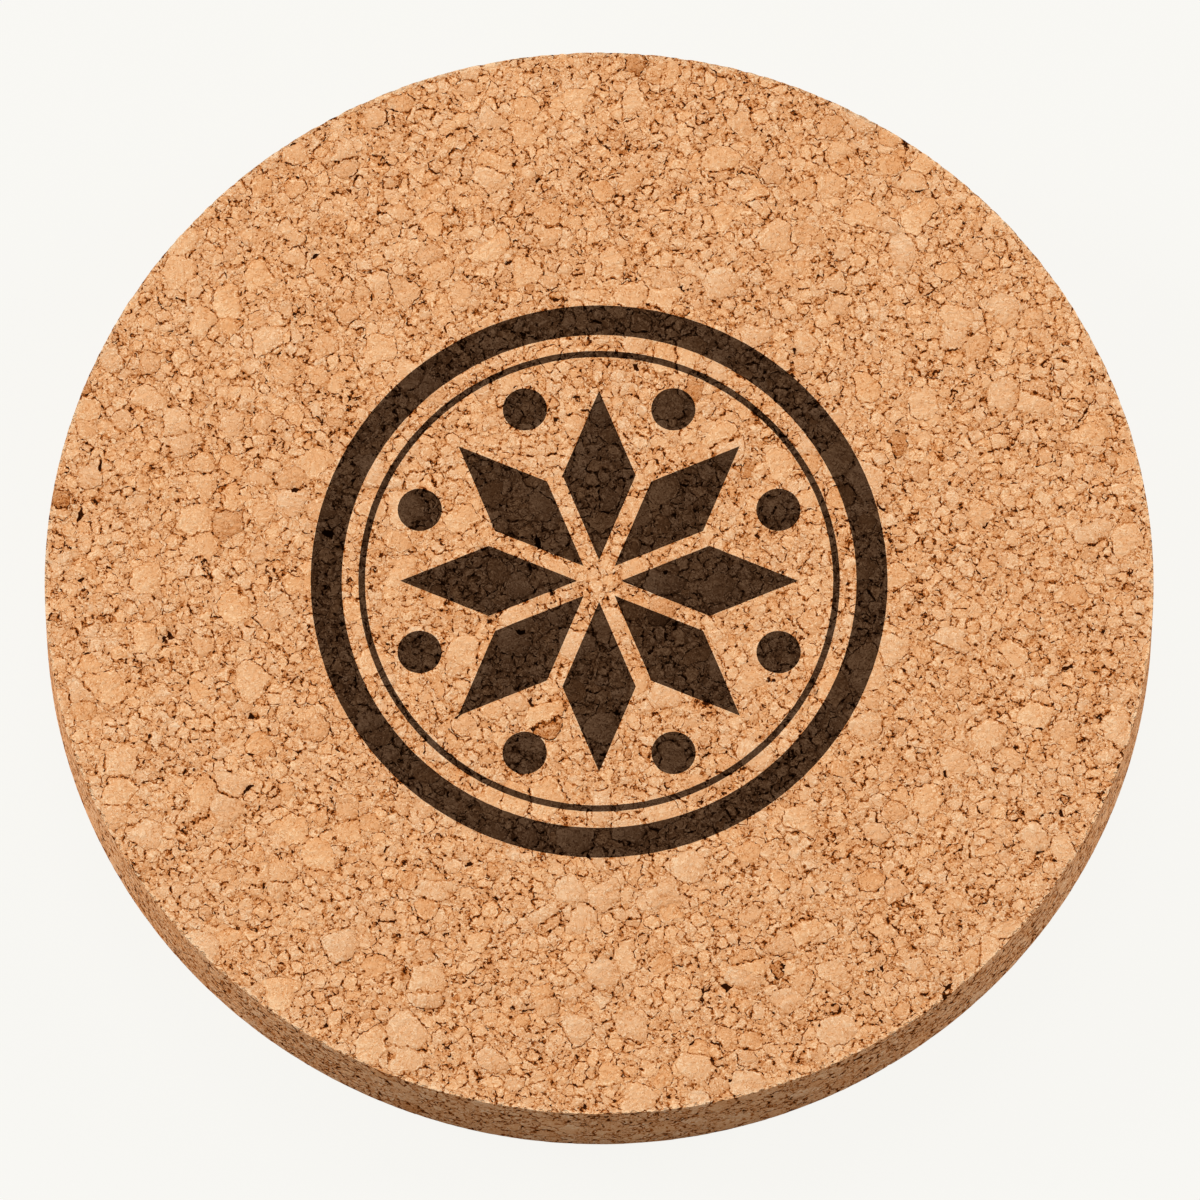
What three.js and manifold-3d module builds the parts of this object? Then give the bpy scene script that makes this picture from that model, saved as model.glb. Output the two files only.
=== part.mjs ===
// Round coaster cut from bonded cork granules, with a dark star mark in its top face.
// Millimetres, +Z up. The origin is the centre of the underside, where the coaster rests.
import * as THREE from "three";
import { mergeVertices } from "three/addons/utils/BufferGeometryUtils.js";
import Module from "manifold-3d";

// Cork disc
const DISC_DIAMETER = 100;
const DISC_THICKNESS = 10;
const EDGE_ROUND = 0.5; // rounding that the die and handling leave on both rims

// Mark, from the outer ring inwards
const MARK_DIAMETER = 52; // outside of the outer ring
const RING_WIDTH = 2.8;
const HAIRLINE_GAP = 1.5; // bare cork between the outer ring and the hairline ring
const HAIRLINE_WIDTH = 0.6;
const STAR_GAP = 1.2; // bare cork between the hairline ring and the star's tips
const STAR_POINTS = 8;
const STAR_LINE = 1.5; // bare line between neighbouring diamonds
const DOT_DIAMETER = 4;
const DOT_EDGE_GAP = 1.6; // bare cork between a dot and the hairline ring

// Seat of the mark in the top face
const POCKET_DEPTH = 0.3;
const MARK_SINK = 0.05; // the mark's surface lies this far below the cork face
const POCKET_CLEARANCE = 0.1; // all round each piece of the mark
const CUTTER_OVERRUN = 1; // how far a pocket cutter stands above the face

// Facets; an arc or a circle is drawn with twice its steps
const RIM_STEPS = 144;
const EDGE_STEPS = 2;
const RING_STEPS = 48;
const DOT_STEPS = 16;

// Derived places
const discRadius = DISC_DIAMETER / 2;
const pocketFloor = DISC_THICKNESS - POCKET_DEPTH;
const markThickness = POCKET_DEPTH - MARK_SINK;
const ringOuter = MARK_DIAMETER / 2;
const ringInner = ringOuter - RING_WIDTH;
const hairlineOuter = ringInner - HAIRLINE_GAP;
const hairlineInner = hairlineOuter - HAIRLINE_WIDTH;
const starTip = hairlineInner - STAR_GAP;
const dotRadius = DOT_DIAMETER / 2;
const dotCentre = hairlineInner - DOT_EDGE_GAP - dotRadius;
const pointAngle = (2 * Math.PI) / STAR_POINTS;

const cork = new THREE.MeshStandardMaterial({ color: 0xdba573, roughness: 0.92, metalness: 0 });
const burntCork = new THREE.MeshStandardMaterial({ color: 0x3f3025, roughness: 0.95, metalness: 0 });

const wasm = await Module();
wasm.setup();

// A closed geometry as a solid for cutting.
function solidFrom(geometry) {
  const bare = geometry.clone();
  bare.deleteAttribute("normal");
  bare.deleteAttribute("uv");
  const merged = mergeVertices(bare);
  return new wasm.Manifold(
    new wasm.Mesh({
      numProp: 3,
      vertProperties: merged.attributes.position.array,
      triVerts: new Uint32Array(merged.index.array),
    }),
  );
}

function geometryFrom(solid) {
  const mesh = solid.getMesh();
  const geometry = new THREE.BufferGeometry();
  geometry.setAttribute("position", new THREE.BufferAttribute(mesh.vertProperties, mesh.numProp));
  geometry.setIndex(new THREE.BufferAttribute(mesh.triVerts, 1));
  geometry.computeVertexNormals();
  return geometry;
}

// Outlines of the mark. `grow` moves an outline outwards all round, for its pocket.
function circlePath(path, radius, clockwise = false) {
  return path.absarc(0, 0, radius, 0, 2 * Math.PI, clockwise);
}

function ringOutline(outer, inner) {
  return (grow) => {
    const outline = circlePath(new THREE.Shape(), outer + grow);
    outline.holes.push(circlePath(new THREE.Path(), inner - grow, true));
    return outline;
  };
}

function dotOutline(grow) {
  return circlePath(new THREE.Shape(), dotRadius + grow);
}

// One diamond of the star, centred on itself with its long way along X. Diamonds whose sharp corners
// all met at the star's centre would share their sides, so each is drawn in by half the bare line.
function diamondOutline(grow) {
  const sharpHalf = pointAngle / 2;
  const inset = STAR_LINE / 2 - grow;
  const halfLength = starTip / 2 - inset / Math.sin(sharpHalf);
  const halfWidth = (starTip / 2) * Math.tan(sharpHalf) - inset / Math.cos(sharpHalf);
  return new THREE.Shape([
    new THREE.Vector2(halfLength, 0),
    new THREE.Vector2(0, halfWidth),
    new THREE.Vector2(-halfLength, 0),
    new THREE.Vector2(0, -halfWidth),
  ]);
}

function slab(outline, depth, steps) {
  return new THREE.ExtrudeGeometry(outline, { depth, bevelEnabled: false, curveSegments: steps });
}

// Every piece of the mark: its name, outline, facets, and its place round the centre.
function markPieces() {
  const pieces = [
    {
      name: "mark_outer_ring",
      outline: ringOutline(ringOuter, ringInner),
      steps: RING_STEPS,
      radius: 0,
      angle: 0,
    },
    {
      name: "mark_hairline_ring",
      outline: ringOutline(hairlineOuter, hairlineInner),
      steps: RING_STEPS,
      radius: 0,
      angle: 0,
    },
  ];
  for (let i = 0; i < STAR_POINTS; i++) {
    const tipAngle = Math.PI / 2 + i * pointAngle;
    pieces.push({
      name: `mark_star_diamond_${i + 1}`,
      outline: diamondOutline,
      steps: 1,
      radius: starTip / 2,
      angle: tipAngle,
    });
    pieces.push({
      name: `mark_dot_${i + 1}`,
      outline: dotOutline,
      steps: DOT_STEPS,
      radius: dotCentre,
      angle: tipAngle + pointAngle / 2,
    });
  }
  return pieces;
}

// Turns an object about +Z and moves it out to its piece's radius, at the given height.
function placeAt(object, piece, height) {
  object.rotation.z = piece.angle;
  object.position.set(piece.radius * Math.cos(piece.angle), piece.radius * Math.sin(piece.angle), height);
  return object;
}

// The disc's half section, from the underside's centre round the rounded rims to the top's centre.
function discProfile() {
  const rim = discRadius - EDGE_ROUND;
  const shoulder = DISC_THICKNESS - EDGE_ROUND;
  const section = new THREE.Path();
  section.moveTo(0, 0);
  section.lineTo(rim, 0);
  section.absarc(rim, EDGE_ROUND, EDGE_ROUND, -Math.PI / 2, 0, false);
  section.lineTo(discRadius, shoulder);
  section.absarc(rim, shoulder, EDGE_ROUND, 0, Math.PI / 2, false);
  section.lineTo(0, DISC_THICKNESS);
  return section.getPoints(EDGE_STEPS);
}

function corkDisc(pieces) {
  const turned = new THREE.LatheGeometry(discProfile(), RIM_STEPS).rotateX(Math.PI / 2);
  let disc = solidFrom(turned);
  for (const piece of pieces) {
    const cutter = slab(piece.outline(POCKET_CLEARANCE), POCKET_DEPTH + CUTTER_OVERRUN, piece.steps);
    const holder = placeAt(new THREE.Object3D(), piece, pocketFloor);
    holder.updateMatrix();
    disc = disc.subtract(solidFrom(cutter.applyMatrix4(holder.matrix)));
  }
  const mesh = new THREE.Mesh(geometryFrom(disc), cork);
  mesh.name = "cork_disc";
  return mesh;
}

function markPiece(piece) {
  const mesh = new THREE.Mesh(slab(piece.outline(0), markThickness, piece.steps), burntCork);
  mesh.name = piece.name;
  return placeAt(mesh, piece, pocketFloor);
}

const coaster = new THREE.Group();
const star = markPieces();
coaster.add(corkDisc(star));
for (const piece of star) {
  coaster.add(markPiece(piece));
}

export default coaster;
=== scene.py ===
"""A round coaster of bonded cork granules with a burnt star in its top face, over its CAD frame."""

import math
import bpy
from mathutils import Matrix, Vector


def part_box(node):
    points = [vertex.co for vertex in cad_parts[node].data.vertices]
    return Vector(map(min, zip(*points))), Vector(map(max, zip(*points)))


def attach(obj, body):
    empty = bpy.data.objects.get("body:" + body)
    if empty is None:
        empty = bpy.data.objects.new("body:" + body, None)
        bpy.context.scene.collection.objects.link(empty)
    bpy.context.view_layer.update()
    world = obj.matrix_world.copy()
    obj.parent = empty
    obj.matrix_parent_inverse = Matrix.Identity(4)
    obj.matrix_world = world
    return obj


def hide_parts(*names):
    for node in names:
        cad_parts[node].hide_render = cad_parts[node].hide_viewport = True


bl_info = {
    "name": "Cork Coaster",
    "version": (1, 0, 0),
    "blender": (4, 5, 0),
    "location": "3D View > Sidebar > Coaster",
    "description": "Models a thick cork coaster and its burnt mark over the packed CAD frame",
    "category": "Object",
}

from types import SimpleNamespace

import bpy
import numpy as np
from bpy.props import FloatProperty, FloatVectorProperty, PointerProperty
from mathutils import Color, Vector

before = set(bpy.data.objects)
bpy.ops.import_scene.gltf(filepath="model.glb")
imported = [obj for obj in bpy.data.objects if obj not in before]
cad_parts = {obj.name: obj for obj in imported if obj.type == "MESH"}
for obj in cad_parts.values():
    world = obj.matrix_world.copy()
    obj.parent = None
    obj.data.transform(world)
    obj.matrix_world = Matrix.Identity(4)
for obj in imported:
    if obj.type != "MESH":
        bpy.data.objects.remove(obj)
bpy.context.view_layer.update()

MM = 0.001
BODY = "root"
DISC_NODE = "cork_disc"
MARK_NODES = sorted(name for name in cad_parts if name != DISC_NODE)
DISC_LOW, DISC_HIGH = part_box(DISC_NODE)
RADIUS = (DISC_HIGH.x - DISC_LOW.x) / 2
THICKNESS = DISC_HIGH.z - DISC_LOW.z

# Names that meshes, node groups and materials share
PLACE = "grain_place"
BAKE_MAP = "OFBake"
GRANULE_GROUP = "Cork Granules"
RELIEF_GROUP = "Granule Relief"

# The slab's mesh: sides of the first cylinder, depth of the remesh grid and the share of the grid that
# the slab spans, which keeps the disc under 200,000 triangles
SLAB_SIDES = 1024
GRID_DEPTH = 8
GRID_SHARE = 0.87
SMOOTH_ANGLE = math.radians(48)

# How far the mark's cutter stands out of the top face, and the limit below which its corners are merged
CUTTER_STAND = 2 * MM
MERGE_LIMIT = 0.001 * MM

# The layer that takes the relief, and how rough the rim, the base and the cut wall are beside the top face
SKIN = 0.1 * MM
RIM_ROUGHNESS = 0.5
BASE_ROUGHNESS = 0.4
WALL_ROUGHNESS = 0.15

# The bake map: half widths of the top face and of the underside, and the clear edge around each part
TOP_REACH = 0.395
BASE_REACH = 0.182
CLEAR_EDGE = 0.003
QUARTER = math.tau / 4

# Stage sizes, and the turn of the side lamps from the camera's side
FLOOR_SIZE = 30.0
LAMP_DISTANCE = 2.0
LAMP_SIZE = 0.8
SIDE_TURN = math.radians(108)
CAMERA_REACH = 20.0

# How long and flat the oval granules are, and the least and greatest reach of one, in granule sizes
LARGE_OVAL = (1.0, 1.5, 1.2)
MEDIUM_OVAL = (1.0, 1.4, 1.15)
GIRTH = (0.6, 0.95)

# Crumbs: reach in crumb sizes, steepness of their sides and the middling strength of their joints
CRUMB_REACH = 0.82
CRUMB_SLOPE = 1.6
CRUMB_JOINT = 0.5

# Pits: how much they crowd together, how much farther the crumbs around a large granule hold than medium
# granules do, and the soft edges of both kinds, in granule sizes
CROWDING = 0.6
CRUMB_HOLD = 0.06
CRUMB_PIT_EDGE = 0.04
PIT_EDGE = 0.05

# Joints: weakest and strongest, how much farther a strong one tears, and the half widths of cracks and
# ticks from a closed to an open place, in millimetres. A tick deepens over a range of its half width.
JOINT_STRENGTH = (0.15, 1.0)
TEAR_SWING = 0.18
CRACK_WIDTH = (-0.2, 0.16)
TICK_WIDTH = (-0.15, 0.11)
TICK_OPENING = (-0.12, 0.06)
TICK_STRENGTH = (0.08, 0.62)

# Specks: noise value past which one shows in crumbs, and how much more it takes in granules and large ones
SPECK_LIMIT = 0.635
GRANULE_HOLD = 0.04
LARGE_HOLD = 0.05

# Curled flakes, whose lapping edges get painted shade and painted highlight: laps in the full range of
# their noise, and what is left of them on large granules and on the wall
LAP_COUNT = 5.4
LARGE_CURL = 0.8
WALL_CURL = 0.4

# Chance past which a granule is bark, and the share of bark on medium granules
BARK_CHANCE = 0.982
MEDIUM_BARK = 0.6

# Factors on the coordinates that draw noises out along a granule's grain, or up the wall
SPOT_STRETCH = (1.0, 0.45, 1.0)
STREAK_STRETCH = (1.0, 0.3, 1.0)
PORE_STRETCH = (1.0, 1.0, 0.6)
FIBRE_STRETCH = (1.0, 1.0, 0.5)

# Soft edges of the masks at the rims: depth under the wall, depth under a face, the band of the wall by a
# rim that has more pores, the chips' soft boundary and swing about the radius, and the top face's band of
# painted highlight along the rim
WALL_EDGE = (0.4 * MM, 0.2 * MM)
FACE_EDGE = (0.02 * MM, 0.12 * MM)
RIM_BAND = (0.3 * MM, 1.2 * MM)
RIM_PORES = 0.03
CHIP_EDGE = (-0.06 * MM, 0.12 * MM)
CHIP_SWING = 1.8 * MM
PAINTED_HIGHLIGHT_BAND = 0.5 * MM

# Ranges over which marks fade in or out with the depth inside a granule, in millimetres
DEPTHS = SimpleNamespace(
    crack=(0.0, 0.1),
    tick=(-0.03, 0.12),
    halo_inner=(0.1, 0.15),
    halo_outer=(0.17, 0.27),
    seam=(0.01, 0.12),
    painted_joint_shade=(0.0, 0.42),
    joint=(0.0, 0.22),
    granule_edge=(0.0, 0.35),
)

# Ranges over which the other marks fade in or out with the value of their noise
FADES = SimpleNamespace(
    parting=(0.68, 0.76),
    tear=(0.44, 0.68),
    halo_tear=(0.45, 0.62),
    seam_break=(0.34, 0.52),
    speck=(0.0, 0.06),
    fleck=(0.26, 0.34),
    curled=(0.33, 0.52),
    lap_painted_shade=(0.62, 0.92),
    lap_painted_highlight=(0.05, 0.28),
    pore=(0.6, 0.66),
    fibre=(0.5, 0.66),
    wrinkle=(0.0, 0.06),
    grain=(0.3, 0.7),
    bite=(0.45, 0.7),
)

# Relief: how much a granule's tilt, its lower edge and the hollows add to its height step
TILT_STEP = 1.5
EDGE_STEP = 1.2
HOLLOW_SWING = 0.8

# Tints from granule to granule, the paler tint that the wall adds to them as a painted sheen, and the
# roughness of both finishes
GREEN_TINT = (0.97, 1.02)
BLUE_TINT = (0.92, 1.06)
PAINTED_SHEEN_GREEN = 0.03
PAINTED_SHEEN_BLUE = 0.1
CORK_ROUGHNESS = 0.9
BURNT_ROUGHNESS = 0.92
ROUGHNESS_SPREAD = (-0.06, 0.04)

# Least upward part of a normal on a top face, and greatest on the wall
FACES_UP = 0.9
FACES_OUT = 0.7

# Sizes of the cork's finer marks, in millimetres
SIZES = SimpleNamespace(
    tick=0.36,
    seam=0.5,
    streak=0.3,
    mottle=0.7,
    grain=0.19,
    spot=0.21,
    drift=6.0,
    patch=2.2,
    curl=0.66,
    curled=0.8,
    pore=0.46,
    fibre=0.24,
    chip=0.5,
    crowding=2.5,
    parting=1.9,
    hollow=0.9,
    bite=0.7,
)

# The cork's tone runs from 0 in a pit to 1 on a pale fleck. Each mark shifts it, and each pattern swings
# it both ways. The tilt, the joint shade, the highlight beside each tick, the laps and the rim's pale band
# are painted light and shade.
TONE = 0.84
TONE_SHIFTS = {
    "large": -0.03,
    # Painted light and shade across each tilted granule, lighter on one side and darker on the other
    "tilt": 0.1,
    "crumb": -0.02,
    # Painted shade that darkens the cork towards each joint
    "painted_joint_shade": -0.17,
    "seam": -0.45,
    "tick": -0.6,
    # Painted highlight on the cork beside each tick
    "painted_tick_highlight": 0.3,
    "wrinkle": -0.1,
    "speck": -0.3,
    "fleck": 0.2,
    # Painted shade and painted highlight on the flakes' lapping edges
    "lap_painted_shade": -0.28,
    "lap_painted_highlight": 0.17,
    "pit": -0.9,
    "bark": -0.2,
    # Painted highlight along the upper rim
    "painted_highlight_edge": 0.17,
    "wall": -0.02,
    "pore": -0.36,
    "fibre": -0.14,
}
TONE_SWINGS = {
    "drift": 0.07,
    "patch": 0.09,
    "granule": 0.16,
    "streak": 0.22,
    "mottle": 0.2,
    "grain": 0.06,
}

# Height of the fine relief, in millimetres, for the same patterns, for a tilted granule, a joint and a chip
HEIGHT_SWINGS = {"mottle": 0.13, "streak": 0.06, "grain": 0.012}
TILT_HEIGHT = 0.15
JOINT_HEIGHT = -0.03
CHIP_HEIGHT = -0.2

# Middle of a random colour, and the shift between noises that should not line up
MIDDLE = (0.5, 0.5, 0.5)
NOISE_SHIFT = (17.3, 41.9, 8.7)


def srgb(red, green, blue):
    """An eight-bit screen colour as the 0 to 1 values that a colour property holds."""
    return (red / 255, green / 255, blue / 255)


def paint(screen_colour):
    """A screen colour as the linear RGBA that a shader socket holds."""
    return (*Color(screen_colour).from_srgb_to_scene_linear(), 1.0)


# Node writing


class NodePad:
    """Writes nodes into one tree. Each method returns the socket that holds its result."""

    def __init__(self, tree):
        self.tree = tree

    def feed(self, socket, value):
        """Links a socket's value, or sets a plain one."""
        if isinstance(value, bpy.types.NodeSocket):
            self.tree.links.new(value, socket)
        else:
            socket.default_value = value

    def node(self, kind, inputs=None, **settings):
        made = self.tree.nodes.new(kind)
        for name, value in settings.items():
            setattr(made, name, value)
        for key, value in (inputs or {}).items():
            self.feed(made.inputs[key], value)
        return made

    def math(self, operation, *values):
        made = self.node("ShaderNodeMath", operation=operation)
        for socket, value in zip(made.inputs, values):
            self.feed(socket, value)
        return made.outputs[0]

    def chain(self, operation, values):
        """One operation over any count of values."""
        result = values[0]
        for value in values[1:]:
            result = self.math(operation, result, value)
        return result

    def add(self, *values):
        return self.chain("ADD", values)

    def times(self, *values):
        return self.chain("MULTIPLY", values)

    def highest(self, *values):
        return self.chain("MAXIMUM", values)

    def lowest(self, *values):
        return self.chain("MINIMUM", values)

    def less(self, value, other):
        return self.math("SUBTRACT", value, other)

    def without(self, mask):
        return self.less(1.0, mask)

    def sway(self, value, reach):
        """A 0 to 1 value turned to swing by reach about zero."""
        return self.times(self.less(value, 0.5), reach)

    def vector(self, operation, *values):
        made = self.node("ShaderNodeVectorMath", operation=operation)
        for socket, value in zip(made.inputs, values):
            self.feed(socket, value)
        scalar = operation in ("DISTANCE", "LENGTH", "DOT_PRODUCT")
        return made.outputs["Value" if scalar else "Vector"]

    def scaled(self, vector, factor):
        inputs = {"Vector": vector, "Scale": factor}
        return self.node("ShaderNodeVectorMath", inputs, operation="SCALE").outputs[0]

    def stretched(self, vector, factors):
        return self.vector("MULTIPLY", vector, factors)

    def turned(self, vector, chance):
        """The vector turned about all axes by a random colour."""
        inputs = {"Vector": vector, "Rotation": self.scaled(chance, math.tau)}
        return self.node("ShaderNodeVectorRotate", inputs, rotation_type="EULER_XYZ").outputs[0]

    def parts(self, vector):
        return tuple(self.node("ShaderNodeSeparateXYZ", {"Vector": vector}).outputs)

    def flat(self, x, y):
        return self.node("ShaderNodeCombineXYZ", {"X": x, "Y": y}).outputs[0]

    def step(self, value, start, end, low=0.0, high=1.0):
        """A smooth step of value from low at start to high at end."""
        keys = ("Value", "From Min", "From Max", "To Min", "To Max")
        inputs = dict(zip(keys, (value, start, end, low, high)))
        return self.node("ShaderNodeMapRange", inputs, interpolation_type="SMOOTHSTEP").outputs[0]

    def fall(self, value, start, end):
        """A mask that fades from 1 at start to 0 at end."""
        return self.step(value, start, end, 1.0, 0.0)

    def spread(self, value, low, high):
        """A 0 to 1 value spread evenly from low to high."""
        inputs = {"Value": value, "To Min": low, "To Max": high}
        return self.node("ShaderNodeMapRange", inputs).outputs[0]

    def mix(self, kind, factor, first, second, **settings):
        """Two vectors or two colours mixed by factor."""
        made = self.node("ShaderNodeMix", {"Factor": factor}, data_type=kind, **settings)
        sockets = [socket for socket in made.inputs if socket.type == kind and socket.name in ("A", "B")]
        for socket, value in zip(sockets, (first, second)):
            self.feed(socket, value)
        return next(socket for socket in made.outputs if socket.type == kind)

    def noise(self, place, size, detail=1.0, roughness=0.5, apart=0, output="Fac"):
        """Noise with features of about this size. Noises with other values of apart don't line up."""
        if apart:
            place = self.vector("ADD", place, tuple(apart * shift for shift in NOISE_SHIFT))
        inputs = {"Vector": place, "Scale": 1 / size, "Detail": detail, "Roughness": roughness}
        return self.node("ShaderNodeTexNoise", inputs).outputs[output]

    def cells(self, place, size, feature):
        """Random cells of about this size. The distance comes out as a share of the size."""
        inputs = {"Vector": place, "Scale": 1 / size}
        return self.node("ShaderNodeTexVoronoi", inputs, feature=feature).outputs


# Granule pattern, in millimetres


def packing(pad, place, size, oval):
    """One packing of oval granules: how deep a point lies in the granule that owns its cell."""
    near = pad.cells(place, size, "F1")
    next_near = pad.cells(place, size, "F2")
    own, reach, next_reach = near["Color"], near["Distance"], next_near["Distance"]
    squares = pad.less(pad.times(next_reach, next_reach), pad.times(reach, reach))
    between = pad.vector("DISTANCE", near["Position"], next_near["Position"])
    gap = pad.math("DIVIDE", pad.times(squares, size * size / 2), between)
    offset = pad.vector("SUBTRACT", place, near["Position"])
    from_core = pad.vector("LENGTH", pad.stretched(pad.turned(offset, own), oval))
    share, _, girth = pad.parts(own)
    inside = pad.less(pad.spread(girth, *[part * size for part in GIRTH]), from_core)
    pair = pad.vector("ADD", own, next_near["Color"])
    return SimpleNamespace(
        reach=reach,
        depth=pad.lowest(gap, inside),
        inside=inside,
        share=share,
        own=own,
        offset=offset,
        joint=pad.node("ShaderNodeTexWhiteNoise", {"Vector": pair}).outputs["Value"],
    )


def granules(pad, place, cork):
    """Large and medium granules in a bed of crumbs, as masks and depths.

    A share of the large cells hold an oval granule. A share of the medium cells do so too, where no large
    granule lies, and crumbs fill the rest.
    """
    bend = pad.vector("SUBTRACT", pad.noise(place, cork.bend_size / MM, 3.0, output="Color"), MIDDLE)
    bent = pad.vector("ADD", place, pad.scaled(bend, cork.bend_reach / MM))
    large = packing(pad, bent, cork.large_size / MM, LARGE_OVAL)
    medium = packing(pad, bent, cork.medium_size / MM, MEDIUM_OVAL)
    crumb_size = cork.crumb_size / MM
    crumb = pad.cells(bent, crumb_size, "F1")

    def whole(level, share):
        kept = pad.math("LESS_THAN", level.share, share)
        return pad.times(kept, pad.math("GREATER_THAN", level.inside, 0.0))

    in_large = whole(large, cork.large_share)
    in_medium = pad.times(whole(medium, cork.medium_share), pad.without(in_large))
    in_crumb = pad.times(pad.without(in_large), pad.without(in_medium))

    def of_kind(of_large, of_medium, of_crumb):
        return pad.add(
            pad.times(in_large, of_large), pad.times(in_medium, of_medium), pad.times(in_crumb, of_crumb)
        )

    def vector_of_kind(of_large, of_medium, of_crumb):
        return pad.mix("VECTOR", in_large, pad.mix("VECTOR", in_medium, of_crumb, of_medium), of_large)

    crumb_depth = pad.times(pad.less(CRUMB_REACH, crumb["Distance"]), CRUMB_SLOPE * crumb_size)
    crumb_offset = pad.vector("SUBTRACT", bent, crumb["Position"])
    chance = vector_of_kind(large.own, medium.own, crumb["Color"])
    offset = vector_of_kind(large.offset, medium.offset, crumb_offset)
    return SimpleNamespace(
        large=large,
        medium=medium,
        in_large=in_large,
        in_medium=in_medium,
        in_crumb=in_crumb,
        depth=of_kind(large.depth, medium.depth, crumb_depth),
        joint=of_kind(large.joint, medium.joint, CRUMB_JOINT),
        chance=chance,
        tilt=pad.vector("DOT_PRODUCT", pad.vector("SUBTRACT", chance, MIDDLE), offset),
    )


def voids(pad, place, field, cork):
    """Mask of the open pits in the corners between granules and of the cracks around large ones."""
    crowding = pad.sway(pad.noise(place, SIZES.crowding), CROWDING)

    def corner(reach, mask, start, softness):
        return pad.times(mask, pad.step(pad.add(reach, crowding), start, start + softness))

    parting = pad.step(pad.noise(place, SIZES.parting, apart=1), *FADES.parting, *CRACK_WIDTH)
    crack = pad.fall(pad.less(field.depth, parting), *DEPTHS.crack)
    return pad.highest(
        pad.times(field.in_large, crack),
        corner(field.large.reach, field.in_crumb, cork.pit_reach + CRUMB_HOLD, CRUMB_PIT_EDGE),
        corner(field.medium.reach, pad.without(field.in_large), cork.pit_reach, PIT_EDGE),
    )


def joints(pad, place, field, strength):
    """Masks of the open ticks and brown seams along the joints, of a painted highlight on the cork beside
    each tick, and of painted shade that darkens the cork towards each joint.
    """
    tear = pad.add(pad.noise(place, SIZES.tick, roughness=0.6), pad.sway(field.joint, TEAR_SWING))
    width = pad.step(tear, *FADES.tear, *TICK_WIDTH)
    beside = pad.less(field.depth, width)
    painted_highlight_edge = pad.step(beside, *DEPTHS.halo_inner)
    opened = pad.step(width, *TICK_OPENING, *TICK_STRENGTH)
    broken = pad.step(pad.noise(place, SIZES.seam, apart=2), *FADES.seam_break)
    return {
        "tick": pad.times(pad.fall(beside, *DEPTHS.tick), opened),
        # Painted highlight on the cork beside each tick
        "painted_tick_highlight": pad.times(painted_highlight_edge, pad.fall(beside, *DEPTHS.halo_outer), pad.step(tear, *FADES.halo_tear)),
        "seam": pad.times(strength, broken, pad.fall(field.depth, *DEPTHS.seam)),
        # Painted shade towards each joint
        "painted_joint_shade": pad.times(strength, pad.fall(field.depth, *DEPTHS.painted_joint_shade)),
    }


def spots(pad, place, field):
    """Masks of the dark specks and pale flecks, which lie along each granule's own grain."""
    along = pad.stretched(pad.turned(place, field.chance), SPOT_STRETCH)
    spot = pad.noise(along, SIZES.spot, apart=3)
    in_granule = pad.without(field.in_crumb)
    holds = pad.times(in_granule, GRANULE_HOLD), pad.times(field.in_large, LARGE_HOLD)
    limit = pad.add(SPECK_LIMIT, *holds)
    return {"speck": pad.step(pad.less(spot, limit), *FADES.speck), "fleck": pad.fall(spot, *FADES.fleck)}


def laps(pad, place, field, on_wall):
    """Masks of painted shade and painted highlight on the edges of curled flakes that lap over each other.
    """
    curled = pad.times(
        pad.step(pad.noise(place, SIZES.curled, apart=4), *FADES.curled),
        pad.spread(field.in_large, 1.0, LARGE_CURL),
        pad.spread(on_wall, 1.0, WALL_CURL),
    )
    lap = pad.math("FRACT", pad.times(pad.noise(place, SIZES.curl, 2.0, 0.55, apart=5), LAP_COUNT))
    return {
        # Painted shade and painted highlight on the lapping edges
        "lap_painted_shade": pad.times(curled, pad.step(lap, *FADES.lap_painted_shade)),
        "lap_painted_highlight": pad.times(curled, pad.fall(lap, *FADES.lap_painted_highlight)),
    }


def wall_cuts(pad, place, on_wall, by_rim):
    """Masks of the cut wall and of the tall pores and short fibres that the cut lays open."""
    pore = pad.noise(pad.stretched(place, PORE_STRETCH), SIZES.pore, roughness=0.4, apart=6)
    fibre = pad.noise(pad.stretched(place, FIBRE_STRETCH), SIZES.fibre)
    return {
        "wall": on_wall,
        "pore": pad.times(on_wall, pad.step(pad.add(pore, pad.times(by_rim, RIM_PORES)), *FADES.pore)),
        "fibre": pad.times(on_wall, pad.step(fibre, *FADES.fibre)),
    }


def wall_masks(pad, position):
    """Masks of the wall, of the part of it under a rim, of the upper rim's chips, and of a painted
    highlight in a pale band along the upper rim.
    """
    x, y, z = pad.parts(position)
    from_axis = pad.vector("LENGTH", pad.flat(x, y))
    from_face = pad.lowest(z, pad.less(THICKNESS, z))
    outside = pad.step(from_axis, *[RADIUS - depth for depth in WALL_EDGE])
    on_wall = pad.times(outside, pad.step(from_face, *FACE_EDGE))
    by_rim = pad.times(on_wall, pad.fall(from_face, *RIM_BAND))
    ragged = pad.noise(pad.scaled(position, 1 / MM), SIZES.chip, 2.0, apart=7)
    reach = pad.add(from_axis, pad.sway(ragged, CHIP_SWING))
    chipped = pad.step(reach, *[RADIUS + shift for shift in CHIP_EDGE])
    on_top = pad.step(z, *[THICKNESS - depth for depth in reversed(FACE_EDGE)])
    # Pale band of painted highlight on the top face along the rim, outside the chips
    painted_highlight_edge = pad.step(from_axis, RADIUS - PAINTED_HIGHLIGHT_BAND, RADIUS)
    return on_wall, by_rim, pad.times(chipped, on_top), pad.times(painted_highlight_edge, on_top, pad.without(chipped))


# Node groups


def shared_group(name, make, cork):
    """A node group that is made once and then used by every piece."""
    return bpy.data.node_groups.get(name) or make(cork)


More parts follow.
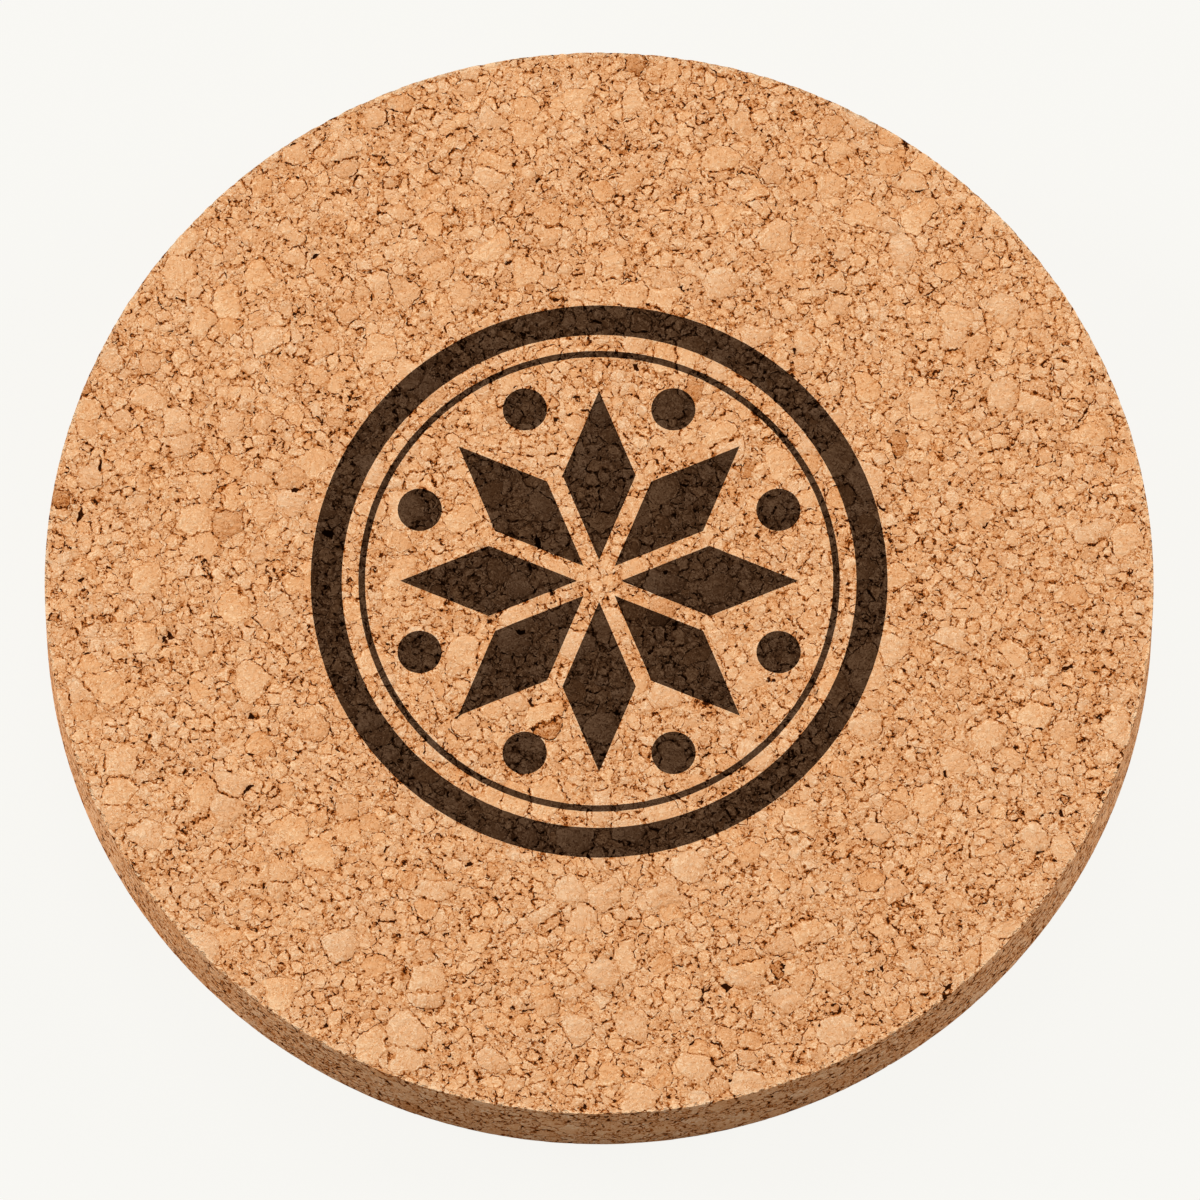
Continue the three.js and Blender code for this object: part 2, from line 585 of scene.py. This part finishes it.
def granule_group(cork):
    """The shader group that both cork finishes share: tone, tint and height of the granules. The tone holds
    painted light and shade, and the wall's tint holds a painted sheen.
    """
    tree = bpy.data.node_groups.new(GRANULE_GROUP, "ShaderNodeTree")
    tree.interface.new_socket("Place", in_out="INPUT", socket_type="NodeSocketVector")
    for name in ("Tone", "Height", "Chance"):
        tree.interface.new_socket(name, in_out="OUTPUT", socket_type="NodeSocketFloat")
    tree.interface.new_socket("Tint", in_out="OUTPUT", socket_type="NodeSocketColor")
    pad = NodePad(tree)
    position = tree.nodes.new("NodeGroupInput").outputs["Place"]
    place = pad.scaled(position, 1 / MM)
    field = granules(pad, place, cork)
    on_wall, by_rim, chip, painted_highlight_edge = wall_masks(pad, position)
    _, hue, lightness = pad.parts(field.chance)
    strength = pad.spread(field.joint, *JOINT_STRENGTH)

    along = pad.stretched(pad.turned(place, field.chance), STREAK_STRETCH)
    streak = pad.noise(along, SIZES.streak, roughness=0.6)
    swings = {
        "drift": pad.noise(place, SIZES.drift, 2.0),
        "patch": pad.noise(place, SIZES.patch),
        "granule": lightness,
        "streak": streak,
        "mottle": pad.noise(place, SIZES.mottle, 3.0, 0.6),
        "grain": pad.step(pad.noise(place, SIZES.grain, roughness=0.6), *FADES.grain),
    }
    bark_share = pad.add(field.in_large, pad.times(field.in_medium, MEDIUM_BARK))
    marks = {
        "large": field.in_large,
        # Painted light and shade across each tilted granule
        "tilt": field.tilt,
        "crumb": field.in_crumb,
        # Painted highlight in a band along the upper rim
        "painted_highlight_edge": painted_highlight_edge,
        "wrinkle": pad.fall(pad.math("ABSOLUTE", pad.less(streak, 0.5)), *FADES.wrinkle),
        "bark": pad.times(pad.math("GREATER_THAN", hue, BARK_CHANCE), bark_share),
        "pit": voids(pad, place, field, cork),
        **joints(pad, place, field, strength),
        **spots(pad, place, field),
        **laps(pad, place, field, on_wall),
        **wall_cuts(pad, place, on_wall, by_rim),
    }
    tone = pad.add(
        TONE,
        *[pad.times(marks[name], shift) for name, shift in TONE_SHIFTS.items()],
        *[pad.sway(swings[name], reach) for name, reach in TONE_SWINGS.items()],
    )
    height = pad.add(
        pad.times(field.tilt, TILT_HEIGHT),
        pad.times(chip, CHIP_HEIGHT),
        pad.times(strength, pad.fall(field.depth, *DEPTHS.joint), JOINT_HEIGHT),
        *[pad.sway(swings[name], reach) for name, reach in HEIGHT_SWINGS.items()],
    )
    # On the wall, more green and blue: a painted sheen
    green = pad.add(pad.spread(hue, *GREEN_TINT), pad.times(on_wall, PAINTED_SHEEN_GREEN))
    blue = pad.add(pad.spread(hue, *BLUE_TINT), pad.times(on_wall, PAINTED_SHEEN_BLUE))
    tint = pad.node("ShaderNodeCombineColor", {"Red": 1.0, "Green": green, "Blue": blue}).outputs[0]
    out = tree.nodes.new("NodeGroupOutput")
    for name, value in (("Tone", tone), ("Height", height), ("Chance", hue), ("Tint", tint)):
        pad.feed(out.inputs[name], value)
    return tree


def relief_group(cork):
    """The geometry group that gives a smooth cork surface its granules, pits and crumbled rim."""
    tree = bpy.data.node_groups.new(RELIEF_GROUP, "GeometryNodeTree")
    tree.interface.new_socket("Geometry", in_out="INPUT", socket_type="NodeSocketGeometry")
    for name in ("Pit Depth", "Sink"):
        tree.interface.new_socket(name, in_out="INPUT", socket_type="NodeSocketFloat")
    tree.interface.new_socket("Geometry", in_out="OUTPUT", socket_type="NodeSocketGeometry")
    pad = NodePad(tree)
    given = tree.nodes.new("NodeGroupInput").outputs
    position = pad.node("GeometryNodeInputPosition").outputs[0]
    kept = pad.node(
        "GeometryNodeStoreNamedAttribute",
        {"Geometry": given["Geometry"], "Name": PLACE, "Value": position},
        data_type="FLOAT_VECTOR",
        domain="POINT",
    )
    place = pad.scaled(position, 1 / MM)
    field = granules(pad, place, cork)

    x, y, z = pad.parts(position)
    outward = pad.flat(x, y)
    on_top = pad.step(z, THICKNESS - SKIN, THICKNESS)
    on_base = pad.fall(z, 0.0, SKIN)
    on_wall = pad.step(pad.vector("LENGTH", outward), RADIUS - SKIN, RADIUS)

    steps = pad.add(
        pad.parts(field.chance)[0],
        pad.times(field.tilt, TILT_STEP),
        pad.step(field.depth, *DEPTHS.granule_edge, EDGE_STEP, 0.0),
        pad.sway(pad.noise(place, SIZES.hollow, 3.0, 0.6), HOLLOW_SWING),
    )
    rough = pad.add(
        pad.times(pad.highest(steps, 0.0), cork.step_depth),
        pad.times(voids(pad, place, field, cork), given["Pit Depth"]),
    )
    bite = pad.times(on_top, pad.step(pad.noise(place, SIZES.bite), *FADES.bite, 0.0, cork.crumble))
    into_top = pad.add(given["Sink"], pad.times(rough, pad.spread(on_wall, 1.0, RIM_ROUGHNESS)))
    into_base = pad.add(given["Sink"], pad.times(rough, BASE_ROUGHNESS))
    into_wall = pad.add(given["Sink"], pad.times(rough, WALL_ROUGHNESS), bite)
    lift = pad.less(pad.times(on_base, into_base), pad.times(on_top, into_top))
    inward = pad.scaled(pad.vector("NORMALIZE", outward), pad.times(on_wall, into_wall, -1.0))
    offset = pad.vector("ADD", inward, pad.node("ShaderNodeCombineXYZ", {"Z": lift}).outputs[0])
    moved = pad.node("GeometryNodeSetPosition", {"Geometry": kept.outputs["Geometry"], "Offset": offset})
    pad.feed(tree.nodes.new("NodeGroupOutput").inputs["Geometry"], moved.outputs["Geometry"])
    return tree


# Materials


def new_material(name):
    """An empty node material and a pad to write it with."""
    material = bpy.data.materials.new(name)
    material.use_nodes = True
    material.node_tree.nodes.clear()
    return material, NodePad(material.node_tree)


def tone_ramp(pad, tone, stops):
    """A colour for each tone, from dark voids to pale flecks."""
    made = pad.node("ShaderNodeValToRGB", {"Fac": tone})
    ramp = made.color_ramp
    while len(ramp.elements) < len(stops):
        ramp.elements.new(1.0)
    for element, (position, colour) in zip(ramp.elements, stops):
        element.position = position
        element.color = paint(colour)
    return made.outputs["Color"]


def granule_material(name, cork, stops, roughness):
    """A matte finish whose colour and relief follow the shared granule group."""
    material, pad = new_material(name)
    place = pad.node("ShaderNodeAttribute", attribute_name=PLACE).outputs["Vector"]
    group = shared_group(GRANULE_GROUP, granule_group, cork)
    grain = pad.node("ShaderNodeGroup", node_tree=group)
    pad.feed(grain.inputs["Place"], place)
    bump = pad.node("ShaderNodeBump", {"Height": grain.outputs["Height"], "Distance": MM})
    toned = tone_ramp(pad, grain.outputs["Tone"], stops)
    smoothest, roughest = (roughness + shift for shift in ROUGHNESS_SPREAD)
    shader = pad.node(
        "ShaderNodeBsdfPrincipled",
        {
            "Base Color": pad.mix("RGBA", 1.0, toned, grain.outputs["Tint"], blend_type="MULTIPLY"),
            "Roughness": pad.spread(grain.outputs["Chance"], smoothest, roughest),
            "Specular IOR Level": 0.0,
            "Normal": bump.outputs["Normal"],
        },
    )
    pad.feed(pad.node("ShaderNodeOutputMaterial").inputs["Surface"], shader.outputs["BSDF"])
    return material


def cork_material(cork):
    """Bare cork, from dark pits to pale flecks."""
    stops = (
        (0.00, cork.pit_colour),
        (0.14, cork.crevice_colour),
        (0.30, cork.seam_colour),
        (0.48, cork.bark_colour),
        (0.74, cork.tan_colour),
        (0.88, cork.pale_colour),
        (1.00, cork.fleck_colour),
    )
    return granule_material("Cork", cork, stops, CORK_ROUGHNESS)


def burnt_material(cork, mark):
    """The burnt layer, with the cork's own granules in dark browns."""
    stops = (
        (0.16, mark.soot_colour),
        (0.46, mark.char_colour),
        (0.74, mark.burnt_colour),
        (1.00, mark.scuffed_colour),
    )
    return granule_material("Burnt Cork", cork, stops, BURNT_ROUGHNESS)


def floor_material(stage):
    """A pale floor that keeps the object's shadow for the camera and sends less light back up."""
    material, pad = new_material("Pale Floor")
    seen = pad.node("ShaderNodeLightPath").outputs["Is Camera Ray"]
    bounce = pad.node("ShaderNodeBsdfDiffuse", {"Color": paint(stage.bounce_colour)})
    shown = pad.node("ShaderNodeBsdfDiffuse", {"Color": paint(stage.floor_colour)})
    glow = pad.node("ShaderNodeEmission", {"Color": paint(stage.floor_colour)})
    lit = pad.node("ShaderNodeMixShader", {0: stage.floor_glow, 1: shown.outputs[0], 2: glow.outputs[0]})
    both = pad.node("ShaderNodeMixShader", {0: seen, 1: bounce.outputs[0], 2: lit.outputs[0]})
    pad.feed(pad.node("ShaderNodeOutputMaterial").inputs["Surface"], both.outputs[0])
    return material


# Mesh work


def start_clean():
    """Leaves edit mode and deselects everything."""
    if bpy.context.object and bpy.context.object.mode != "OBJECT":
        bpy.ops.object.mode_set(mode="OBJECT")
    bpy.ops.object.select_all(action="DESELECT")


def pick(*objects):
    """Makes these objects the selection and the first one active."""
    start_clean()
    for item in objects:
        item.hide_set(False)
        item.select_set(True)
    bpy.context.view_layer.objects.active = objects[0]


def joined_copy(*objects):
    """Copies of these objects, joined into one object with its own mesh."""
    pick(*objects)
    bpy.ops.object.duplicate(linked=False)
    pick(*bpy.context.selected_objects)
    bpy.ops.object.join()
    return bpy.context.object


def modify(item, kind, **settings):
    """Adds one modifier with these settings and applies it."""
    pick(item)
    modifier = item.modifiers.new(kind.title(), kind)
    for name, value in settings.items():
        setattr(modifier, name, value)
    bpy.ops.object.modifier_apply(modifier=modifier.name)


def select_faces(item, wanted):
    """In edit mode, selects the faces whose normal is wanted."""
    bpy.ops.mesh.select_mode(type="FACE")
    bpy.ops.mesh.select_all(action="DESELECT")
    bpy.ops.object.mode_set(mode="OBJECT")
    for face in item.data.polygons:
        face.select = wanted(face.normal)
    bpy.ops.object.mode_set(mode="EDIT")


def press_slab(name):
    """A smooth round slab at the disc's place, with crisp rims and a fine even mesh."""
    start_clean()
    bpy.ops.mesh.primitive_cylinder_add(
        vertices=SLAB_SIDES, radius=RADIUS, depth=THICKNESS, location=(0, 0, THICKNESS / 2)
    )
    slab = bpy.context.object
    slab.name = slab.data.name = name
    bpy.ops.object.transform_apply(location=True, rotation=True, scale=True)
    depth = GRID_DEPTH
    modify(
        slab, "REMESH", mode="SHARP", octree_depth=depth, scale=GRID_SHARE, use_remove_disconnected=False
    )
    return slab


def mark_cutter():
    """The mark's CAD pieces as one cutter that stands out of the top face."""
    cutter = joined_copy(*[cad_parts[name] for name in MARK_NODES])
    cutter.parent = None
    cutter.name = cutter.data.name = "mark_cutter"
    bpy.ops.mesh.customdata_custom_splitnormals_clear()
    bpy.ops.object.mode_set(mode="EDIT")
    bpy.ops.mesh.select_all(action="SELECT")
    bpy.ops.mesh.remove_doubles(threshold=MERGE_LIMIT)
    bpy.ops.mesh.normals_make_consistent(inside=False)
    select_faces(cutter, lambda normal: normal.z > FACES_UP)
    bpy.ops.transform.translate(value=(0, 0, CUTTER_STAND))
    bpy.ops.object.mode_set(mode="OBJECT")
    return cutter


def cut_slab(slab, operation):
    """Takes the mark out of the slab, or keeps only the mark."""
    cutter = mark_cutter()
    modify(slab, "BOOLEAN", operation=operation, solver="MANIFOLD", object=cutter)
    bpy.data.objects.remove(cutter)


def roughen(item, cork, pit_depth, sink):
    """Gives the item's outer surface the granules' relief, and smooth shading except across its rims."""
    group = shared_group(RELIEF_GROUP, relief_group, cork)
    pick(item)
    modifier = item.modifiers.new("Relief", "NODES")
    modifier.node_group = group
    values = {"Pit Depth": pit_depth, "Sink": sink}
    for socket in group.interface.items_tree:
        if socket.name in values:
            modifier[socket.identifier] = values[socket.name]
    bpy.ops.object.modifier_apply(modifier=modifier.name)
    bpy.ops.object.shade_smooth_by_angle(angle=SMOOTH_ANGLE)


def read_all(items, name, width, kind=np.float32):
    """One value of every item in a mesh list, with a row for each item."""
    values = np.empty(len(items) * width, kind)
    items.foreach_get(name, values)
    return values.reshape(-1, width)


def lay_bake_map(item):
    """A bake map with the top face large, the wall in four strips beside it and the underside small."""
    mesh = item.data
    vertex_of = read_all(mesh.loops, "vertex_index", 1, np.int32)[:, 0]
    points = read_all(mesh.attributes[PLACE].data, "vector", 3)[vertex_of]
    corner_counts = read_all(mesh.polygons, "loop_total", 1, np.int32)[:, 0]
    face_of = np.repeat(np.arange(len(corner_counts)), corner_counts)
    sums = [np.bincount(face_of, points[:, axis]) for axis in range(3)]
    centres = np.stack(sums, axis=1) / corner_counts[:, None]
    upright = np.abs(read_all(mesh.polygons, "normal", 3)[:, 2]) < FACES_OUT
    wall = (upright & (np.hypot(centres[:, 0], centres[:, 1]) > RADIUS - MM))[face_of]
    base = (centres[:, 2] < THICKNESS / 2)[face_of] & ~wall
    quarter = (np.arctan2(centres[:, 1], centres[:, 0]) % math.tau // QUARTER).astype(int)[face_of]

    scale = TOP_REACH / RADIUS
    spots = points[:, :2] * scale + TOP_REACH + CLEAR_EDGE
    spots[base] = points[base, :2] * (BASE_REACH / RADIUS) + 1 - BASE_REACH - CLEAR_EDGE
    turn = np.arctan2(points[:, 1], points[:, 0]) - (quarter + 0.5) * QUARTER
    turn = (turn + math.pi) % math.tau - math.pi
    along = (turn + QUARTER / 2) * TOP_REACH + CLEAR_EDGE
    strip_step = THICKNESS * scale + 2 * CLEAR_EDGE
    first_strip = 2 * TOP_REACH + 3 * CLEAR_EDGE
    across = first_strip + (quarter % 2) * strip_step + points[:, 2] * scale
    strips = np.stack([along, across], axis=1)
    standing = quarter >= 2
    strips[standing] = strips[standing][:, ::-1]
    spots[wall] = strips[wall]
    mesh.uv_layers.new(name=BAKE_MAP).data.foreach_set("uv", spots.astype(np.float32).ravel())


def put_in_place(item, node, material):
    """Dresses a finished piece and lets it stand for its CAD node."""
    item.data.materials.clear()
    item.data.materials.append(material)
    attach(item, BODY)
    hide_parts(node)


# Settings


def length_setting(name, description, size):
    """A length that a user can change, in metres."""
    return FloatProperty(name=name, description=description, default=size, unit="LENGTH")


def share_setting(name, description, part):
    """A share from 0 to 1."""
    return FloatProperty(
        name=name, description=description, default=part, subtype="FACTOR", min=0.0, max=1.0
    )


def angle_setting(name, description, degrees):
    """An angle, given here in degrees."""
    turn = math.radians(degrees)
    return FloatProperty(name=name, description=description, default=turn, subtype="ANGLE")


def power_setting(name, description, watts):
    """A lamp's power in watts."""
    return FloatProperty(name=name, description=description, default=watts, unit="POWER")


def colour_setting(name, description, *screen):
    """A colour, given here in eight-bit screen values."""
    return FloatVectorProperty(
        name=name, description=description, default=srgb(*screen), subtype="COLOR_GAMMA"
    )


class CoasterCork(bpy.types.PropertyGroup):
    """Granule sizes and colours of the cork"""

    large_size: length_setting("Large granules", "Spacing of the large granules", 2.6 * MM)
    medium_size: length_setting("Medium granules", "Spacing of the medium granules", 1.15 * MM)
    crumb_size: length_setting("Crumbs", "Spacing of the crumbs between granules", 0.4 * MM)
    large_share: share_setting("Large share", "Share of the large granules that stay whole", 0.42)
    medium_share: share_setting("Medium share", "Share of the medium granules that stay whole", 0.8)
    bend_size: length_setting("Bend size", "Length of the bends in the granules' outlines", 0.9 * MM)
    bend_reach: length_setting("Bend reach", "Sideways reach of those bends", 0.9 * MM)
    pit_reach: FloatProperty(
        name="Pit limit",
        description="Distance from every granule, in granule sizes, past which cork is missing",
        default=0.985,
    )
    pit_depth: length_setting("Pit depth", "Depth of the open pits", 0.3 * MM)
    step_depth: length_setting("Step depth", "Height steps between granules", 0.055 * MM)
    sink: length_setting("Sink", "How far the sanded faces lie inside the full size", 0.03 * MM)
    crumble: length_setting("Crumble", "Depth of the bites along the upper rim", 0.07 * MM)
    pit_colour: colour_setting("Pit", "Bottom of the pits", 46, 20, 6)
    crevice_colour: colour_setting("Crevice", "Dark gaps", 92, 40, 9)
    seam_colour: colour_setting("Seam", "Brown seams between granules", 149, 75, 23)
    bark_colour: colour_setting("Bark", "Darker cork", 192, 120, 63)
    tan_colour: colour_setting("Tan", "Most of the cork", 224, 165, 114)
    pale_colour: colour_setting("Pale", "Paler granules", 230, 180, 134)
    fleck_colour: colour_setting("Fleck", "Palest flecks", 243, 203, 160)


class CoasterMark(bpy.types.PropertyGroup):
    """Depth and colours of the burnt mark"""

    sink: length_setting("Sink", "How far the burnt surface lies inside the full size", 0.06 * MM)
    pit_depth: length_setting("Pit depth", "Depth of pits in the burnt layer", 0.08 * MM)
    soot_colour: colour_setting("Soot", "Gaps in the burnt cork", 8, 2, 0)
    char_colour: colour_setting("Char", "Burnt seams", 40, 22, 10)
    burnt_colour: colour_setting("Burnt", "Most of the mark", 66, 43, 26)
    scuffed_colour: colour_setting("Scuffed", "Palest spots of the mark", 97, 72, 52)


class CoasterStage(bpy.types.PropertyGroup):
    """Camera, floor and light"""

    elevation: angle_setting("Elevation", "Camera angle above the table", 73.22)
    distance: length_setting("Distance", "Camera distance from the top face", 3.0)
    lens: FloatProperty(name="Lens", description="Focal length", default=998.8, unit="CAMERA")
    aim_right: length_setting("Aim right", "How far right of the disc's centre the camera aims", 0.08 * MM)
    aim_down: length_setting("Aim down", "How far below the disc's centre the camera aims", 1.75 * MM)
    floor_colour: colour_setting("Floor", "Colour of the floor and backdrop", 248, 247, 243)
    bounce_colour: colour_setting("Bounce", "Floor colour for light that it sends back up", 176, 174, 170)
    floor_glow: share_setting("Floor glow", "Share of the floor's own even brightness", 0.96)
    left_power: power_setting("Left power", "Power of the left lamp", 33.0)
    right_power: power_setting("Right power", "Power of the right lamp", 22.0)
    side_height: angle_setting("Side height", "Angle of the left and right lamps above the table", 20)
    back_power: power_setting("Back power", "Power of the lamp behind the coaster", 10.0)
    back_height: angle_setting("Back height", "Angle of the lamp behind the coaster above the table", 52)
    sky_strength: FloatProperty(
        name="Sky strength", description="Strength of the even light from all sides", default=0.45
    )


# Operators


class COASTER_OT_stage(bpy.types.Operator):
    """Set up the pale floor, the soft light and the camera"""

    bl_idname = "coaster.stage"
    bl_label = "Stage"

    def execute(self, context):
        stage = context.scene.coaster_stage
        context.scene.view_settings.view_transform = "Standard"
        self.lay_floor(stage)
        self.hang_lamp("left_lamp", -SIDE_TURN, stage.side_height, stage.left_power)
        self.hang_lamp("right_lamp", SIDE_TURN, stage.side_height, stage.right_power)
        self.hang_lamp("back_lamp", math.pi, stage.back_height, stage.back_power)
        self.light_sky(context, stage)
        self.aim_camera(context, stage)
        return {"FINISHED"}

    def lay_floor(self, stage):
        start_clean()
        bpy.ops.mesh.primitive_plane_add(size=FLOOR_SIZE, location=(0, 0, DISC_LOW.z))
        floor = bpy.context.object
        floor.name = floor.data.name = "floor"
        floor.data.materials.append(floor_material(stage))
        bpy.ops.object.transform_apply(location=True)

    def hang_lamp(self, name, turn, height, watts):
        """A soft lamp aimed at the coaster, turned from the camera to the right and raised by height."""
        level = math.cos(height)
        away = Vector((level * math.sin(turn), -level * math.cos(turn), math.sin(height)))
        bpy.ops.object.light_add(type="AREA", location=away * LAMP_DISTANCE)
        lamp = bpy.context.object
        lamp.name = lamp.data.name = name
        lamp.rotation_mode = "QUATERNION"
        lamp.rotation_quaternion = away.to_track_quat("Z", "Y")
        lamp.data.shape = "DISK"
        lamp.data.size = LAMP_SIZE
        lamp.data.energy = watts

    def light_sky(self, context, stage):
        """Even light from all sides, with the floor's own colour behind it for the camera."""
        world = bpy.data.worlds.new("Studio")
        context.scene.world = world
        world.use_nodes = True
        world.node_tree.nodes.clear()
        pad = NodePad(world.node_tree)
        seen = pad.node("ShaderNodeLightPath").outputs["Is Camera Ray"]
        sky = pad.node("ShaderNodeBackground", {"Color": (1, 1, 1, 1), "Strength": stage.sky_strength})
        backdrop = pad.node("ShaderNodeBackground", {"Color": paint(stage.floor_colour), "Strength": 1.0})
        both = pad.node("ShaderNodeMixShader", {0: seen, 1: sky.outputs[0], 2: backdrop.outputs[0]})
        pad.feed(pad.node("ShaderNodeOutputWorld").inputs["Surface"], both.outputs[0])

    def aim_camera(self, context, stage):
        back = Vector((0, -math.cos(stage.elevation), math.sin(stage.elevation)))
        right = Vector((1, 0, 0))
        up = back.cross(right)
        aim = Vector((0, 0, THICKNESS)) + right * stage.aim_right - up * stage.aim_down
        bpy.ops.object.camera_add(location=aim + back * stage.distance)
        camera = bpy.context.object
        camera.name = "photo_camera"
        camera.rotation_mode = "QUATERNION"
        camera.rotation_quaternion = back.to_track_quat("Z", "Y")
        camera.data.lens = stage.lens
        camera.data.clip_end = CAMERA_REACH
        context.scene.camera = camera


class COASTER_OT_disc(bpy.types.Operator):
    """Press the cork disc, cut the mark's pockets into its top face and roughen it"""

    bl_idname = "coaster.disc"
    bl_label = "Cork Disc"

    def execute(self, context):
        cork = context.scene.coaster_cork
        disc = press_slab("cork_disc_granules")
        cut_slab(disc, "DIFFERENCE")
        roughen(disc, cork, cork.pit_depth, cork.sink)
        lay_bake_map(disc)
        put_in_place(disc, DISC_NODE, cork_material(cork))
        return {"FINISHED"}


class COASTER_OT_mark(bpy.types.Operator):
    """Burn the mark's rings, diamonds and dots, which fill the pockets of the disc"""

    bl_idname = "coaster.mark"
    bl_label = "Burnt Mark"

    def execute(self, context):
        cork, mark = context.scene.coaster_cork, context.scene.coaster_mark
        layer = press_slab("burnt_layer")
        cut_slab(layer, "INTERSECT")
        burnt = burnt_material(cork, mark)
        pick(layer)
        bpy.ops.mesh.separate(type="LOOSE")
        islands = {self.node_at(island): island for island in bpy.context.selected_objects}
        if sorted(islands) != MARK_NODES:
            raise RuntimeError("the burnt layer doesn't fall into the mark's own pieces")
        for node, island in islands.items():
            roughen(island, cork, mark.pit_depth, mark.sink)
            island.name = island.data.name = node.replace("mark_", "burnt_")
            put_in_place(island, node, burnt)
        return {"FINISHED"}

    def node_at(self, island):
        """The CAD node of the mark whose box fits the island best."""
        corners = [Vector(corner) for corner in island.bound_box]

        def misfit(name):
            low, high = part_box(name)
            return (low - corners[0]).length + (high - corners[6]).length

        return min(MARK_NODES, key=misfit)


class COASTER_PT_panel(bpy.types.Panel):
    """Builds the coaster and its stage"""

    bl_label = "Cork Coaster"
    bl_idname = "COASTER_PT_panel"
    bl_space_type = "VIEW_3D"
    bl_region_type = "UI"
    bl_category = "Coaster"

    def draw(self, context):
        scene = context.scene
        column = self.layout.column()
        for operator in (COASTER_OT_stage, COASTER_OT_disc, COASTER_OT_mark):
            column.operator(operator.bl_idname)
        for group in (scene.coaster_cork, scene.coaster_mark, scene.coaster_stage):
            box = self.layout.box()
            for name in type(group).__annotations__:
                box.prop(group, name)


CLASSES = (
    CoasterCork,
    CoasterMark,
    CoasterStage,
    COASTER_OT_stage,
    COASTER_OT_disc,
    COASTER_OT_mark,
    COASTER_PT_panel,
)


def register():
    for item in CLASSES:
        bpy.utils.register_class(item)
    bpy.types.Scene.coaster_cork = PointerProperty(type=CoasterCork)
    bpy.types.Scene.coaster_mark = PointerProperty(type=CoasterMark)
    bpy.types.Scene.coaster_stage = PointerProperty(type=CoasterStage)


def unregister():
    del bpy.types.Scene.coaster_cork
    del bpy.types.Scene.coaster_mark
    del bpy.types.Scene.coaster_stage
    for item in reversed(CLASSES):
        bpy.utils.unregister_class(item)


def main():
    register()
    bpy.ops.coaster.stage()
    bpy.ops.coaster.disc()
    bpy.ops.coaster.mark()


if __name__ == "__main__":
    main()
